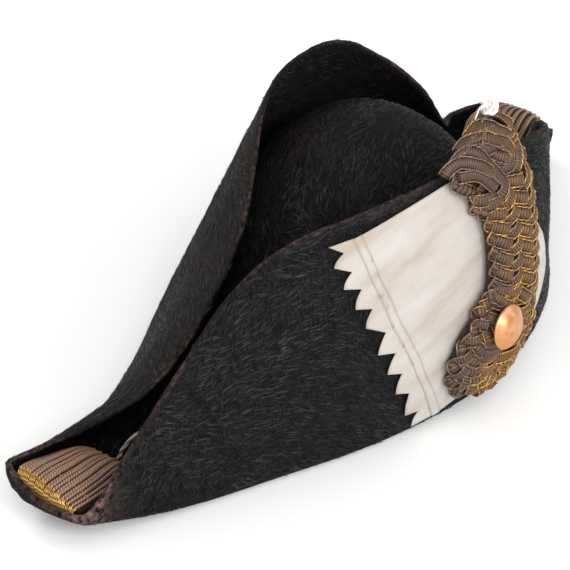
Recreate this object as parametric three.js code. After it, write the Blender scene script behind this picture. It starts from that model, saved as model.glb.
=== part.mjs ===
import * as THREE from 'three';

// Bicorne hat of black felt. Millimetres, +Z up. X runs from tip to tip, the front flap with the
// cockade faces -Y and the rear fan stands at +Y. The origin is under the middle of the whole hat.

// Felt body
const LENGTH = 450;
const FELT_WALL = 2.4;
const FRONT_DEPTH = 109;
const FRONT_HEIGHT = 133;
const REAR_DEPTH = 76;
const REAR_HEIGHT = 144;
const FOLD_RADIUS = 4.5;
const TIP_RISE = 12;
const LIP_HEIGHT = 5;

// Crown, measured at the middle of its wall
const CROWN_LENGTH = 186;
const CROWN_WIDTH = 146;
const CROWN_HEIGHT = 120;
const CROWN_SHOULDER = 22;
const CROWN_FORWARD = 18;
const CROWN_SQUARENESS = 2.6;
const CROWN_END_TAPER = 0.17;
const CROWN_REAR_TAPER = 0.18;
const RIM_FLARE = 2;

// Silk cockade
const SILK = 1.0;
const TOOTH_DEPTH = 5;
const TOOTH_COUNT = 10;
const COCKADE_DROP = 7;
const COCKADE_TILT = 26;

// Plaited agraffe, the button on its bulb and the knot at its tip
const AGRAFFE_WIDTH = 38;
const AGRAFFE_THICKNESS = 7;
const AGRAFFE_FOOT = 8;
const AGRAFFE_TIP = 19;
const AGRAFFE_LEFT = 23;
const BUTTON_DIAMETER = 22;
const BUTTON_HEIGHT = 6;
const KNOT_DIAMETER = 9;

// Bullion tassels and the cord loop beside the left one
const TASSEL_LENGTH = 40;
const TASSEL_WIDTH = 36;
const TASSEL_THICKNESS = 14;
const TASSEL_LOCKS = 12;
const TASSEL_INSET = 3.5;
const LOOP_WIRE = 1.8;
const LOOP_RISE = 12;

// What rests on another piece stands this far from it.
const CLEARANCE = 0.35;

// Front flap and rear fan, from the left tip to the right one. along is a share of half the length,
// the Out columns are shares of the flap's depth and edgeUp of its height. belly is the flap's
// swell between fold and edge, as a share of the distance between them.
const FRONT_ROWS = [
  { along: -1.0, foldOut: 0.2, edgeOut: 0.2, edgeUp: 0.1, belly: 0 },
  { along: -0.82, foldOut: 0.37, edgeOut: 0.3, edgeUp: 0.46, belly: 0.03 },
  { along: -0.62, foldOut: 0.56, edgeOut: 0.48, edgeUp: 0.85, belly: 0.06 },
  { along: -0.4, foldOut: 0.78, edgeOut: 0.72, edgeUp: 0.94, belly: 0.08 },
  { along: -0.18, foldOut: 0.92, edgeOut: 0.92, edgeUp: 1.0, belly: 0.08 },
  { along: 0, foldOut: 0.97, edgeOut: 0.97, edgeUp: 0.98, belly: 0.08 },
  { along: 0.18, foldOut: 0.94, edgeOut: 0.92, edgeUp: 0.9, belly: 0.03 },
  { along: 0.4, foldOut: 0.81, edgeOut: 0.68, edgeUp: 0.71, belly: 0 },
  { along: 0.62, foldOut: 0.52, edgeOut: 0.44, edgeUp: 0.5, belly: 0.01 },
  { along: 0.82, foldOut: 0.3, edgeOut: 0.27, edgeUp: 0.32, belly: 0 },
  { along: 1.0, foldOut: 0.2, edgeOut: 0.2, edgeUp: 0.15, belly: 0 },
];
const REAR_ROWS = [
  { along: -1.0, foldOut: 0.2, edgeOut: 0.26, edgeUp: 0.22, belly: 0.1 },
  { along: -0.82, foldOut: 0.34, edgeOut: 0.11, edgeUp: 0.2, belly: 0.18 },
  { along: -0.62, foldOut: 0.46, edgeOut: -0.08, edgeUp: 0.28, belly: 0.08 },
  { along: -0.4, foldOut: 0.64, edgeOut: -0.19, edgeUp: 0.66, belly: 0.02 },
  { along: -0.18, foldOut: 0.88, edgeOut: 0.11, edgeUp: 0.95, belly: 0 },
  { along: 0, foldOut: 0.94, edgeOut: 0.16, edgeUp: 1.0, belly: 0 },
  { along: 0.18, foldOut: 0.86, edgeOut: 0.09, edgeUp: 0.94, belly: 0.04 },
  { along: 0.4, foldOut: 0.72, edgeOut: -0.06, edgeUp: 0.67, belly: 0.13 },
  { along: 0.62, foldOut: 0.51, edgeOut: 0.04, edgeUp: 0.35, belly: 0.12 },
  { along: 0.82, foldOut: 0.38, edgeOut: 0.31, edgeUp: 0.23, belly: 0.12 },
  { along: 1.0, foldOut: 0.2, edgeOut: 0.26, edgeUp: 0.18, belly: 0.1 },
];

// The sole lies flat over this share of the length and rises from there to the tips.
const FLAT_SHARE = 0.66;

// Agraffe from its foot to its tip. centre and half are shares of its width, depth of its thickness.
const AGRAFFE_ROWS = [
  { along: 0, centre: -0.2, half: 0.08, depth: 0.45 },
  { along: 0.02, centre: -0.2, half: 0.25, depth: 0.75 },
  { along: 0.06, centre: -0.23, half: 0.5, depth: 1.0 },
  { along: 0.15, centre: -0.23, half: 0.7, depth: 1.0 },
  { along: 0.22, centre: -0.2, half: 0.78, depth: 1.0 },
  { along: 0.3, centre: -0.2, half: 0.72, depth: 1.0 },
  { along: 0.37, centre: -0.11, half: 0.62, depth: 1.0 },
  { along: 0.43, centre: -0.04, half: 0.53, depth: 1.0 },
  { along: 0.52, centre: -0.05, half: 0.5, depth: 1.0 },
  { along: 0.67, centre: -0.07, half: 0.5, depth: 1.0 },
  { along: 0.75, centre: -0.11, half: 0.53, depth: 1.0 },
  { along: 0.81, centre: -0.18, half: 0.58, depth: 1.0 },
  { along: 0.86, centre: -0.33, half: 0.67, depth: 1.0 },
  { along: 0.91, centre: -0.32, half: 0.6, depth: 1.0 },
  { along: 0.95, centre: -0.2, half: 0.4, depth: 1.0 },
  { along: 0.98, centre: -0.15, half: 0.25, depth: 0.9 },
  { along: 1.0, centre: -0.15, half: 0.12, depth: 0.6 },
];
const BUTTON_ALONG = 0.31;
const BUTTON_ACROSS = -0.15;

// Silk cockade from its lower to its upper border: where its left and right ends lie, as shares of
// half the length.
const COCKADE_ROWS = [
  { along: 0, left: -0.31, right: 0.13 },
  { along: 0.12, left: -0.35, right: 0.17 },
  { along: 0.25, left: -0.39, right: 0.14 },
  { along: 0.42, left: -0.426, right: 0.09 },
  { along: 0.6, left: -0.456, right: 0.02 },
  { along: 0.75, left: -0.48, right: -0.02 },
  { along: 1.0, left: -0.5, right: -0.07 },
];

// A tassel's sections from the tip inwards. near and far are shares of its width from the hat's long
// axis, the Top and Floor columns are heights over the sole as shares of its thickness.
const LEFT_TASSEL_ROWS = [
  { along: 0, near: -0.44, far: 0.41, nearFloor: 0.05, farFloor: 0.7, nearTop: 0.4, farTop: 1.3 },
  { along: 0.12, near: -0.47, far: 0.42, nearFloor: 0.05, farFloor: 0.5, nearTop: 0.55, farTop: 1.4 },
  { along: 0.45, near: -0.5, far: 0.42, nearFloor: 0.05, farFloor: 0.2, nearTop: 0.85, farTop: 1.4 },
  { along: 0.8, near: -0.46, far: 0.4, nearFloor: 0.05, farFloor: 0.1, nearTop: 1.0, farTop: 1.3 },
  { along: 1.0, near: -0.38, far: 0.32, nearFloor: 0.1, farFloor: 0.1, nearTop: 0.85, farTop: 1.0 },
];
const RIGHT_TASSEL_ROWS = [
  { along: 0, near: -0.46, far: 0.38, nearFloor: 0.05, farFloor: 0.15, nearTop: 0.9, farTop: 1.1 },
  { along: 0.2, near: -0.56, far: 0.44, nearFloor: 0.05, farFloor: 0.05, nearTop: 1.6, farTop: 1.6 },
  { along: 0.5, near: -0.64, far: 0.52, nearFloor: 0.02, farFloor: 0.02, nearTop: 2.1, farTop: 2.0 },
  { along: 0.75, near: -0.66, far: 0.52, nearFloor: 0.02, farFloor: 0.02, nearTop: 1.8, farTop: 1.7 },
  { along: 0.95, near: -0.6, far: 0.44, nearFloor: 0.1, farFloor: 0.1, nearTop: 0.9, farTop: 0.9 },
];

const FLAP_STATIONS = 28;
const LIP_STATIONS = 3;
const DOME_RINGS = 6;
const SOLE_STEPS = 5;
const WALL_STEPS = 6;

// A cubic through the rows of a table, read at a place along it.
function readRow(rows, key, place) {
  const last = rows.length - 2;
  let index = 0;
  while (index < last && place > rows[index + 1].along) index += 1;
  const slopeAt = (row) => {
    const before = rows[Math.max(row - 1, 0)];
    const after = rows[Math.min(row + 1, rows.length - 1)];
    return (after[key] - before[key]) / (after.along - before.along);
  };
  const start = rows[index];
  const end = rows[index + 1];
  const width = end.along - start.along;
  const t = Math.min(Math.max((place - start.along) / width, 0), 1);
  const rise = end[key] - start[key];
  const a = slopeAt(index) * width - rise;
  const b = rise - slopeAt(index + 1) * width;
  return start[key] + rise * t + t * (1 - t) * (a * (1 - t) + b * t);
}

// Middle of the felt in the sole, at a share of the half length.
function soleHeight(share) {
  const past = Math.max(Math.abs(share) - FLAT_SHARE, 0) / (1 - FLAT_SHARE);
  return FELT_WALL / 2 + TIP_RISE * past * past;
}

// Fold and edge of a flap at one share of the length; side is -1 at the front and 1 at the rear.
function flapStation(rows, depth, height, side, share) {
  const x = (share * LENGTH) / 2;
  const fold = new THREE.Vector3(x, side * depth * readRow(rows, 'foldOut', share), soleHeight(share));
  const edgeHeight = Math.max(height * readRow(rows, 'edgeUp', share), fold.z + LIP_HEIGHT);
  const edge = new THREE.Vector3(x, side * depth * readRow(rows, 'edgeOut', share), edgeHeight);
  return { fold, edge, belly: readRow(rows, 'belly', share), turn: share, side };
}

const frontStation = (share) => flapStation(FRONT_ROWS, FRONT_DEPTH, FRONT_HEIGHT, -1, share);
const rearStation = (share) => flapStation(REAR_ROWS, REAR_DEPTH, REAR_HEIGHT, 1, share);

// The lip closes a tip between the ends of the two flaps, in a shallow hollow.
function lipStations(from, to, end) {
  const stations = [];
  for (let step = 1; step <= LIP_STATIONS; step += 1) {
    const t = step / (LIP_STATIONS + 1);
    const hollow = 4 * t * (1 - t);
    const fold = from.fold.clone().lerp(to.fold, t);
    const edge = from.edge.clone().lerp(to.edge, t);
    edge.z = Math.max(edge.z - LIP_HEIGHT * 1.4 * hollow, fold.z + LIP_HEIGHT * 0.8);
    fold.x += end * LIP_HEIGHT * 0.2 * hollow;
    edge.x += end * LIP_HEIGHT * 0.6 * hollow;
    stations.push({ fold, edge, belly: 0, turn: end, side: from.side * (1 - 2 * t) });
  }
  return stations;
}

// All stations round the hat, counterclockwise seen from above, from the left end of the front flap.
function hatStations() {
  const swing = Math.PI * 0.4;
  const shares = Array.from({ length: FLAP_STATIONS }, (_, step) => (
    Math.sin(((2 * step) / (FLAP_STATIONS - 1) - 1) * swing) / Math.sin(swing)
  ));
  const front = shares.map(frontStation);
  const rear = shares.map(rearStation).reverse();
  const right = lipStations(front[front.length - 1], rear[0], 1);
  const left = lipStations(rear[rear.length - 1], front[0], -1);
  const stations = [...front, ...right, ...rear, ...left];
  stations.forEach((station, index) => {
    const next = stations[(index + 1) % stations.length].fold;
    const before = stations[(index + stations.length - 1) % stations.length].fold;
    station.outward = new THREE.Vector3(next.y - before.y, before.x - next.x, 0).normalize();
  });
  return stations;
}

// The stations spread round the crown's oval, up to this angle from the hat's middle on the flaps.
const CROWN_SPREAD = THREE.MathUtils.degToRad(80);
function crownPoint(station, radial, height, flare) {
  const half = Math.PI / 2;
  const onLip = Math.abs(station.side) < 1;
  const angle = station.turn * (onLip ? half - (half - CROWN_SPREAD) * Math.abs(station.side) : CROWN_SPREAD);
  const side = station.side < 0 ? -1 : 1;
  const taper = 1 - CROWN_END_TAPER * THREE.MathUtils.smoothstep(height, FELT_WALL, CROWN_HEIGHT * 0.7);
  const leaning = THREE.MathUtils.smoothstep(height, CROWN_SHOULDER, CROWN_HEIGHT * 0.62);
  const width = CROWN_WIDTH * (side > 0 ? 1 - CROWN_REAR_TAPER * leaning : 1);
  return new THREE.Vector3(
    ((CROWN_LENGTH / 2) * radial * taper + flare) * Math.sin(angle),
    -CROWN_FORWARD + side * ((width / 2) * radial + flare) * Math.cos(angle),
    height,
  );
}

// A point in the middle of a flap's felt: 0 is over the fold and 1 is the edge.
function flapPoint(station, t) {
  const rise = station.edge.clone().sub(station.fold);
  const start = station.fold.clone().addScaledVector(rise, Math.min(FOLD_RADIUS / rise.length(), 0.4));
  const outward = new THREE.Vector3(0, Math.sign(station.side), 0);
  const swell = outward.clone().addScaledVector(rise, -outward.dot(rise) / rise.lengthSq());
  swell.setLength(station.belly * rise.length() * 4 * t * (1 - t) + 1e-9);
  return start.lerp(station.edge, t).add(swell);
}

// The middle of the felt from the crown's top out to the flap's edge, along one station.
function feltProfile(station) {
  const points = [];
  const domeHeight = CROWN_HEIGHT - FELT_WALL / 2 - CROWN_SHOULDER;
  for (let ring = 1; ring <= DOME_RINGS; ring += 1) {
    const angle = (Math.PI / 2) * (1 - ring / DOME_RINGS);
    const height = CROWN_SHOULDER + domeHeight * Math.sin(angle) ** (2 / CROWN_SQUARENESS);
    points.push(crownPoint(station, Math.cos(angle), height, 0));
  }
  const rim = crownPoint(station, 1, FELT_WALL / 2, RIM_FLARE);
  points.push(crownPoint(station, 1, CROWN_SHOULDER * 0.45, RIM_FLARE * 0.4), rim);

  const toe = station.fold.clone().addScaledVector(station.outward, -FOLD_RADIUS);
  for (let step = 1; step <= SOLE_STEPS; step += 1) {
    const point = rim.clone().lerp(toe, step / SOLE_STEPS);
    point.z = soleHeight((2 * point.x) / LENGTH);
    points.push(point);
  }
  const turn = station.fold.clone().addScaledVector(station.outward, -FOLD_RADIUS * 0.3);
  turn.z = points[points.length - 1].z + FOLD_RADIUS * 0.3;
  points.push(turn);
  for (let step = 0; step <= WALL_STEPS; step += 1) points.push(flapPoint(station, step / WALL_STEPS));
  return points;
}

// A closed body from corner points and triangles, turned so that its faces point out.
function closedBody(points, triangles) {
  let volume = 0;
  const cross = new THREE.Vector3();
  triangles.forEach(([a, b, c]) => { volume += points[a].dot(cross.crossVectors(points[b], points[c])); });
  const faces = volume < 0 ? triangles.map(([a, b, c]) => [a, c, b]) : triangles;
  const geometry = new THREE.BufferGeometry();
  geometry.setAttribute('position', new THREE.Float32BufferAttribute(points.flatMap((p) => [p.x, p.y, p.z]), 3));
  geometry.setIndex(faces.flat());
  geometry.computeVertexNormals();
  return geometry;
}

// The whole felt as one wall: crown, sole, both flaps and the two lips.
function feltGeometry() {
  const stations = hatStations();
  const middle = stations.map(feltProfile);
  const count = stations.length;
  const rings = middle[0].length;
  const top = new THREE.Vector3(0, -CROWN_FORWARD, CROWN_HEIGHT - FELT_WALL / 2);
  const at = (i, j) => (j < 0 ? top : middle[(i + count) % count][Math.min(j, rings - 1)]);
  const points = [];
  [1, -1].forEach((face) => {
    points.push(top.clone().setZ(top.z + (face * FELT_WALL) / 2));
    for (let i = 0; i < count; i += 1) {
      for (let j = 0; j < rings; j += 1) {
        const outwards = at(i, j + 1).clone().sub(at(i, j - 1));
        const around = at(i + 1, j).clone().sub(at(i - 1, j));
        const normal = outwards.cross(around).normalize();
        points.push(at(i, j).clone().addScaledVector(normal, (face * FELT_WALL) / 2));
      }
    }
  });
  const under = 1 + count * rings;
  const corner = (i, j) => 1 + (i % count) * rings + j;
  const triangles = [];
  for (let i = 0; i < count; i += 1) {
    triangles.push([0, corner(i, 0), corner(i + 1, 0)]);
    triangles.push([under, under + corner(i + 1, 0), under + corner(i, 0)]);
    for (let j = 0; j < rings - 1; j += 1) {
      const quad = [corner(i, j), corner(i, j + 1), corner(i + 1, j + 1), corner(i + 1, j)];
      const below = quad.map((index) => index + under);
      triangles.push([quad[0], quad[1], quad[2]], [quad[0], quad[2], quad[3]]);
      triangles.push([below[0], below[2], below[1]], [below[0], below[3], below[2]]);
    }
    const rim = [corner(i, rings - 1), corner(i + 1, rings - 1)];
    triangles.push([rim[0], rim[0] + under, rim[1] + under], [rim[0], rim[1] + under, rim[1]]);
  }
  return closedBody(points, triangles);
}

// A point off the front flap's outer face: x along the hat, height over the sole, lift off the felt.
function frontPoint(x, height, lift) {
  const middleAt = (place, level) => {
    const station = frontStation((2 * place) / LENGTH);
    const t = (level - station.fold.z) / (station.edge.z - station.fold.z);
    if (t <= 1) return flapPoint(station, t);
    const edge = flapPoint(station, 1);
    return edge.add(edge.clone().sub(flapPoint(station, 0.95)).multiplyScalar((t - 1) / 0.05));
  };
  const step = 2;
  const along = middleAt(x + step, height).sub(middleAt(x - step, height));
  const up = middleAt(x, height + step).sub(middleAt(x, height - step));
  const normal = along.cross(up).normalize();
  return middleAt(x, height).addScaledVector(normal, FELT_WALL / 2 + lift);
}

// A closed body between a front and a back grid of points.
function slab(front, back) {
  const rows = front.length;
  const columns = front[0].length;
  const points = [...front.flat(), ...back.flat()];
  const half = rows * columns;
  const triangles = [];
  const border = [];
  for (let i = 0; i < rows - 1; i += 1) {
    for (let j = 0; j < columns - 1; j += 1) {
      const quad = [i * columns + j, i * columns + j + 1, (i + 1) * columns + j + 1, (i + 1) * columns + j];
      triangles.push([quad[0], quad[1], quad[2]], [quad[0], quad[2], quad[3]]);
      triangles.push([quad[0] + half, quad[2] + half, quad[1] + half]);
      triangles.push([quad[0] + half, quad[3] + half, quad[2] + half]);
    }
  }
  for (let j = 0; j < columns - 1; j += 1) border.push(j);
  for (let i = 0; i < rows - 1; i += 1) border.push(i * columns + columns - 1);
  for (let j = columns - 1; j > 0; j -= 1) border.push((rows - 1) * columns + j);
  for (let i = rows - 1; i > 0; i -= 1) border.push(i * columns);
  border.forEach((from, index) => {
    const to = border[(index + 1) % border.length];
    triangles.push([from, from + half, to + half], [from, to + half, to]);
  });
  return closedBody(points, triangles);
}

const COCKADE_LIFT = CLEARANCE;
const AGRAFFE_LIFT = COCKADE_LIFT + SILK + CLEARANCE;

// The folded silk ribbon, with its two ends cut in a row of teeth.
function cockadeGeometry() {
  const rows = 2 * TOOTH_COUNT;
  const columns = 10;
  const face = (lift) => Array.from({ length: rows + 1 }, (_, row) => {
    const v = row / rows;
    const left = (readRow(COCKADE_ROWS, 'left', v) * LENGTH) / 2;
    const right = (readRow(COCKADE_ROWS, 'right', v) * LENGTH) / 2;
    return Array.from({ length: columns + 1 }, (__, column) => {
      const u = column / columns;
      const notch = row % 2 === 1 && row < rows ? TOOTH_DEPTH : 0;
      const shift = column === 0 ? notch : column === columns ? -notch : 0;
      const x = left + (right - left) * u;
      const station = frontStation((2 * x) / LENGTH);
      const low = station.fold.z + FOLD_RADIUS + u * COCKADE_TILT;
      const high = station.edge.z - COCKADE_DROP;
      return frontPoint(x + shift, low + (high - low) * v, lift);
    });
  });
  return slab(face(COCKADE_LIFT + SILK), face(COCKADE_LIFT));
}

const AGRAFFE_RISE = FRONT_HEIGHT + AGRAFFE_TIP - AGRAFFE_FOOT;
function agraffePoint(along, across, lift) {
  const centre = readRow(AGRAFFE_ROWS, 'centre', along) * AGRAFFE_WIDTH;
  const half = readRow(AGRAFFE_ROWS, 'half', along) * AGRAFFE_WIDTH;
  return frontPoint(-AGRAFFE_LEFT + centre + half * across, AGRAFFE_FOOT + along * AGRAFFE_RISE, lift);
}

// The plaited loop: an arched strip with three raised plaits, wide at its bulb and at its fold.
function agraffeGeometry() {
  const sections = 30;
  const columns = 12;
  const front = [];
  const back = [];
  for (let row = 0; row <= sections; row += 1) {
    const along = row / sections;
    const depth = readRow(AGRAFFE_ROWS, 'depth', along) * AGRAFFE_THICKNESS;
    const frontRow = [];
    const backRow = [];
    for (let column = 0; column <= columns; column += 1) {
      const across = (2 * column) / columns - 1;
      const arch = Math.sqrt(1 - Math.abs(across) ** 3 * 0.86);
      const plait = 1 - 0.09 * (1 - Math.cos(3 * Math.PI * (across + 1)));
      frontRow.push(agraffePoint(along, across, AGRAFFE_LIFT + depth * arch * plait));
      backRow.push(agraffePoint(along, across, AGRAFFE_LIFT));
    }
    front.push(frontRow);
    back.push(backRow);
  }
  return slab(front, back);
}

// The domed button, on a short shank between it and the bulb.
function buttonGeometry() {
  const radius = BUTTON_DIAMETER / 2;
  const profile = [
    new THREE.Vector2(0, 0),
    new THREE.Vector2(radius * 0.5, 0),
    new THREE.Vector2(radius * 0.55, BUTTON_HEIGHT * 0.2),
    new THREE.Vector2(radius * 0.92, BUTTON_HEIGHT * 0.25),
    new THREE.Vector2(radius, BUTTON_HEIGHT * 0.4),
    new THREE.Vector2(radius * 0.93, BUTTON_HEIGHT * 0.58),
    new THREE.Vector2(radius * 0.7, BUTTON_HEIGHT * 0.82),
    new THREE.Vector2(radius * 0.38, BUTTON_HEIGHT * 0.96),
    new THREE.Vector2(0, BUTTON_HEIGHT),
  ];
  return new THREE.LatheGeometry(profile, 20);
}

function buttonMesh(material) {
  const mesh = new THREE.Mesh(buttonGeometry(), material);
  const seat = agraffePoint(BUTTON_ALONG, BUTTON_ACROSS, AGRAFFE_LIFT + AGRAFFE_THICKNESS + CLEARANCE);
  const root = agraffePoint(BUTTON_ALONG, BUTTON_ACROSS, 0);
  const normal = seat.clone().sub(root).normalize();
  mesh.position.copy(seat);
  mesh.quaternion.setFromUnitVectors(new THREE.Vector3(0, 1, 0), normal);
  return mesh;
}

// The cotton knot sits on the agraffe's tip.
function knotMesh(material) {
  const radius = KNOT_DIAMETER / 2;
  const geometry = new THREE.SphereGeometry(radius, 10, 7);
  const mesh = new THREE.Mesh(geometry, material);
  mesh.position.copy(agraffePoint(1, 0, AGRAFFE_LIFT + AGRAFFE_THICKNESS * 0.3));
  mesh.position.z += radius + CLEARANCE;
  return mesh;
}

// A flattened tassel on the sole at a tip: end is -1 at the left tip and 1 at the right one.
function tasselGeometry(rows, end) {
  const sections = 8;
  const columns = 2 * TASSEL_LOCKS;
  const last = rows[rows.length - 1].along;
  const top = [];
  const floor = [];
  for (let row = 0; row <= sections; row += 1) {
    const along = (last * row) / sections;
    const x = end * (LENGTH / 2 - TASSEL_INSET - along * TASSEL_LENGTH);
    const sole = soleHeight((2 * x) / LENGTH) + FELT_WALL / 2 + CLEARANCE;
    const value = (key) => readRow(rows, key, along);
    const topRow = [];
    const floorRow = [];
    for (let column = 0; column <= columns; column += 1) {
      const u = column / columns;
      const y = TASSEL_WIDTH * (value('near') + (value('far') - value('near')) * u);
      const low = TASSEL_THICKNESS * (value('nearFloor') + (value('farFloor') - value('nearFloor')) * u * u);
      const high = TASSEL_THICKNESS * (value('nearTop') + (value('farTop') - value('nearTop')) * u);
      const arch = Math.sqrt(1 - Math.abs(2 * u - 1) ** 4 * 0.7);
      const groove = column % 2 === 0 ? 0.9 : 1;
      topRow.push(new THREE.Vector3(x, y, sole + low + (high - low) * arch * groove));
      floorRow.push(new THREE.Vector3(x, y, sole + low));
    }
    top.push(topRow);
    floor.push(floorRow);
  }
  return slab(top, floor);
}

// The thin cord that rises from the left tassel's inner end and bends over to the front flap.
function loopGeometry() {
  const inner = LEFT_TASSEL_ROWS[LEFT_TASSEL_ROWS.length - 1];
  const x = -LENGTH / 2 + TASSEL_INSET + TASSEL_LENGTH;
  const share = (2 * x) / LENGTH;
  const sole = soleHeight(share) + FELT_WALL / 2 + CLEARANCE;
  const knot = new THREE.Vector3(x, TASSEL_WIDTH * inner.near * 0.35, sole + TASSEL_THICKNESS * inner.nearTop);
  knot.x += LOOP_WIRE;
  const station = frontStation(share);
  const wall = flapPoint(station, 0.4);
  wall.y += FELT_WALL / 2 + CLEARANCE + LOOP_WIRE * 0.6;
  const high = Math.max(knot.z, wall.z) + LOOP_RISE * 0.5;
  const curve = new THREE.CatmullRomCurve3([
    knot.clone().setZ(knot.z - LOOP_RISE * 0.5),
    knot.clone().lerp(wall, 0.12).setZ(knot.z + LOOP_RISE * 0.4),
    knot.clone().lerp(wall, 0.5).setZ(high),
    wall.clone().lerp(knot, 0.12).setZ(wall.z + LOOP_RISE * 0.1),
    wall.clone().setZ(wall.z - LOOP_RISE * 0.4),
  ]);
  const section = new THREE.Shape();
  section.absarc(0, 0, LOOP_WIRE / 2, 0, 2 * Math.PI);
  return new THREE.ExtrudeGeometry(section, { steps: 14, curveSegments: 4, extrudePath: curve });
}

const COLOURS = {
  felt: { color: 0x262223, roughness: 0.95, metalness: 0 },
  silk: { color: 0xe9e1d6, roughness: 0.6, metalness: 0 },
  bullion: { color: 0x7a6450, roughness: 0.5, metalness: 0.6 },
  gilt: { color: 0xd39a6c, roughness: 0.3, metalness: 1 },
  cotton: { color: 0xf0ede8, roughness: 0.9, metalness: 0 },
};
const paint = (name) => new THREE.MeshStandardMaterial(COLOURS[name]);

const hat = new THREE.Group();
function add(name, mesh) {
  const piece = mesh;
  piece.name = name;
  hat.add(piece);
}

add('felt_body', new THREE.Mesh(feltGeometry(), paint('felt')));
add('cockade', new THREE.Mesh(cockadeGeometry(), paint('silk')));
add('agraffe', new THREE.Mesh(agraffeGeometry(), paint('bullion')));
add('button', buttonMesh(paint('gilt')));
add('loop_knot', knotMesh(paint('cotton')));
add('tassel_left', new THREE.Mesh(tasselGeometry(LEFT_TASSEL_ROWS, -1), paint('bullion')));
add('tassel_right', new THREE.Mesh(tasselGeometry(RIGHT_TASSEL_ROWS, 1), paint('bullion')));
add('tassel_loop', new THREE.Mesh(loopGeometry(), paint('bullion')));

// The tables count from the long axis between the tips: this sets the origin under the whole hat.
const middle = new THREE.Box3().setFromObject(hat, true).getCenter(new THREE.Vector3());
hat.children.forEach((piece) => piece.position.sub(new THREE.Vector3(middle.x, middle.y, 0)));

export default hat;
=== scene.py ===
"""Bicorne hat of black beaver felt: silk cockade, plaited bullion loop with its button, two tassels."""

import math
import random

import bmesh
import bpy
import numpy as np
from mathutils import Matrix, Vector, kdtree, noise
from mathutils.bvhtree import BVHTree


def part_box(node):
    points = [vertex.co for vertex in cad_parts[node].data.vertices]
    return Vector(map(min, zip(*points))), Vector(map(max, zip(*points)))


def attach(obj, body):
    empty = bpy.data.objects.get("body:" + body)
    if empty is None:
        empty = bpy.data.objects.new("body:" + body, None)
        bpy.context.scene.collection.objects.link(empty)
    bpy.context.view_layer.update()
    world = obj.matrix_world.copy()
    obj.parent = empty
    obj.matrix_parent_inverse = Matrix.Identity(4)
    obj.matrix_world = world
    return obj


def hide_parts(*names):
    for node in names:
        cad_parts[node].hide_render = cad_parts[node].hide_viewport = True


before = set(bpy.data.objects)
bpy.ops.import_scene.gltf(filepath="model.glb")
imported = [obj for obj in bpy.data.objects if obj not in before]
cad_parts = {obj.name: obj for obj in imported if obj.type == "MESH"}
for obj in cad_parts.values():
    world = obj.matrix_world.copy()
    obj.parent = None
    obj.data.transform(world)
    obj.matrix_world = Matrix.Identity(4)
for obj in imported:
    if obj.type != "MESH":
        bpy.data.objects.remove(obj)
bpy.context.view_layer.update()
MM = 0.001
DOWN = Vector((0, 0, -1))


# Camera, floor and lights

def place_camera():
    """The photograph's viewing angle, with just enough shift for its framing."""
    data = bpy.data.cameras.new("camera")
    data.sensor_width, data.lens = 36.0, 141.56
    data.shift_x, data.shift_y = 0.0027, -0.0111
    camera = bpy.data.objects.new("camera", data)
    bpy.context.scene.collection.objects.link(camera)
    right, up = Vector((0.5314, -0.8467, 0.0283)), Vector((0.4146, 0.289, 0.8629))
    turn = Matrix((right, up, right.cross(up))).transposed().to_4x4()
    camera.matrix_world = Matrix.Translation((-0.84428, -0.46266, 0.59111)) @ turn
    bpy.context.scene.camera = camera


def soft_light(name, place, aim, size, power):
    """A round soft box, its place and size in metres and its power in watts."""
    data = bpy.data.lights.new(name, "AREA")
    data.shape, data.size, data.energy = "DISK", size, power
    lamp = bpy.data.objects.new(name, data)
    bpy.context.scene.collection.objects.link(lamp)
    lamp.location = place
    lamp.rotation_euler = (Vector(aim) - Vector(place)).to_track_quat("-Z", "Y").to_euler()


# Materials

def linear(code):
    """An sRGB hex colour as linear light."""
    values = [int(code[i:i + 2], 16) / 255 for i in (1, 3, 5)]
    return [v / 12.92 if v <= 0.04045 else ((v + 0.055) / 1.055) ** 2.4 for v in values] + [1.0]


def node(tree, kind, inputs=None, stops=(), **settings):
    """Adds a node with its properties and colour stops. Inputs are set or linked, and text is a hex colour."""
    made = tree.nodes.new(kind)
    for key, value in settings.items():
        setattr(made, key, value)
    for key, value in (inputs or {}).items():
        if isinstance(value, bpy.types.NodeSocket):
            tree.links.new(value, made.inputs[key])
        else:
            made.inputs[key].default_value = linear(value) if isinstance(value, str) else value
    for index, (position, code) in enumerate(stops):
        elements = made.color_ramp.elements
        # A new ramp has two elements.
        element = elements[index] if index < 2 else elements.new(position)
        element.position = position
        element.color = linear(code)
    return made


def new_material(name, **sockets):
    """A material with one shader, whose even values are set on its own sockets."""
    material = bpy.data.materials.new(name)
    material.use_nodes = True
    tree = material.node_tree
    shader = next(n for n in tree.nodes if n.type == "BSDF_PRINCIPLED")
    for key, value in sockets.items():
        shader.inputs[key.replace("_", " ")].default_value = value
    return material, tree, shader


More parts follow.
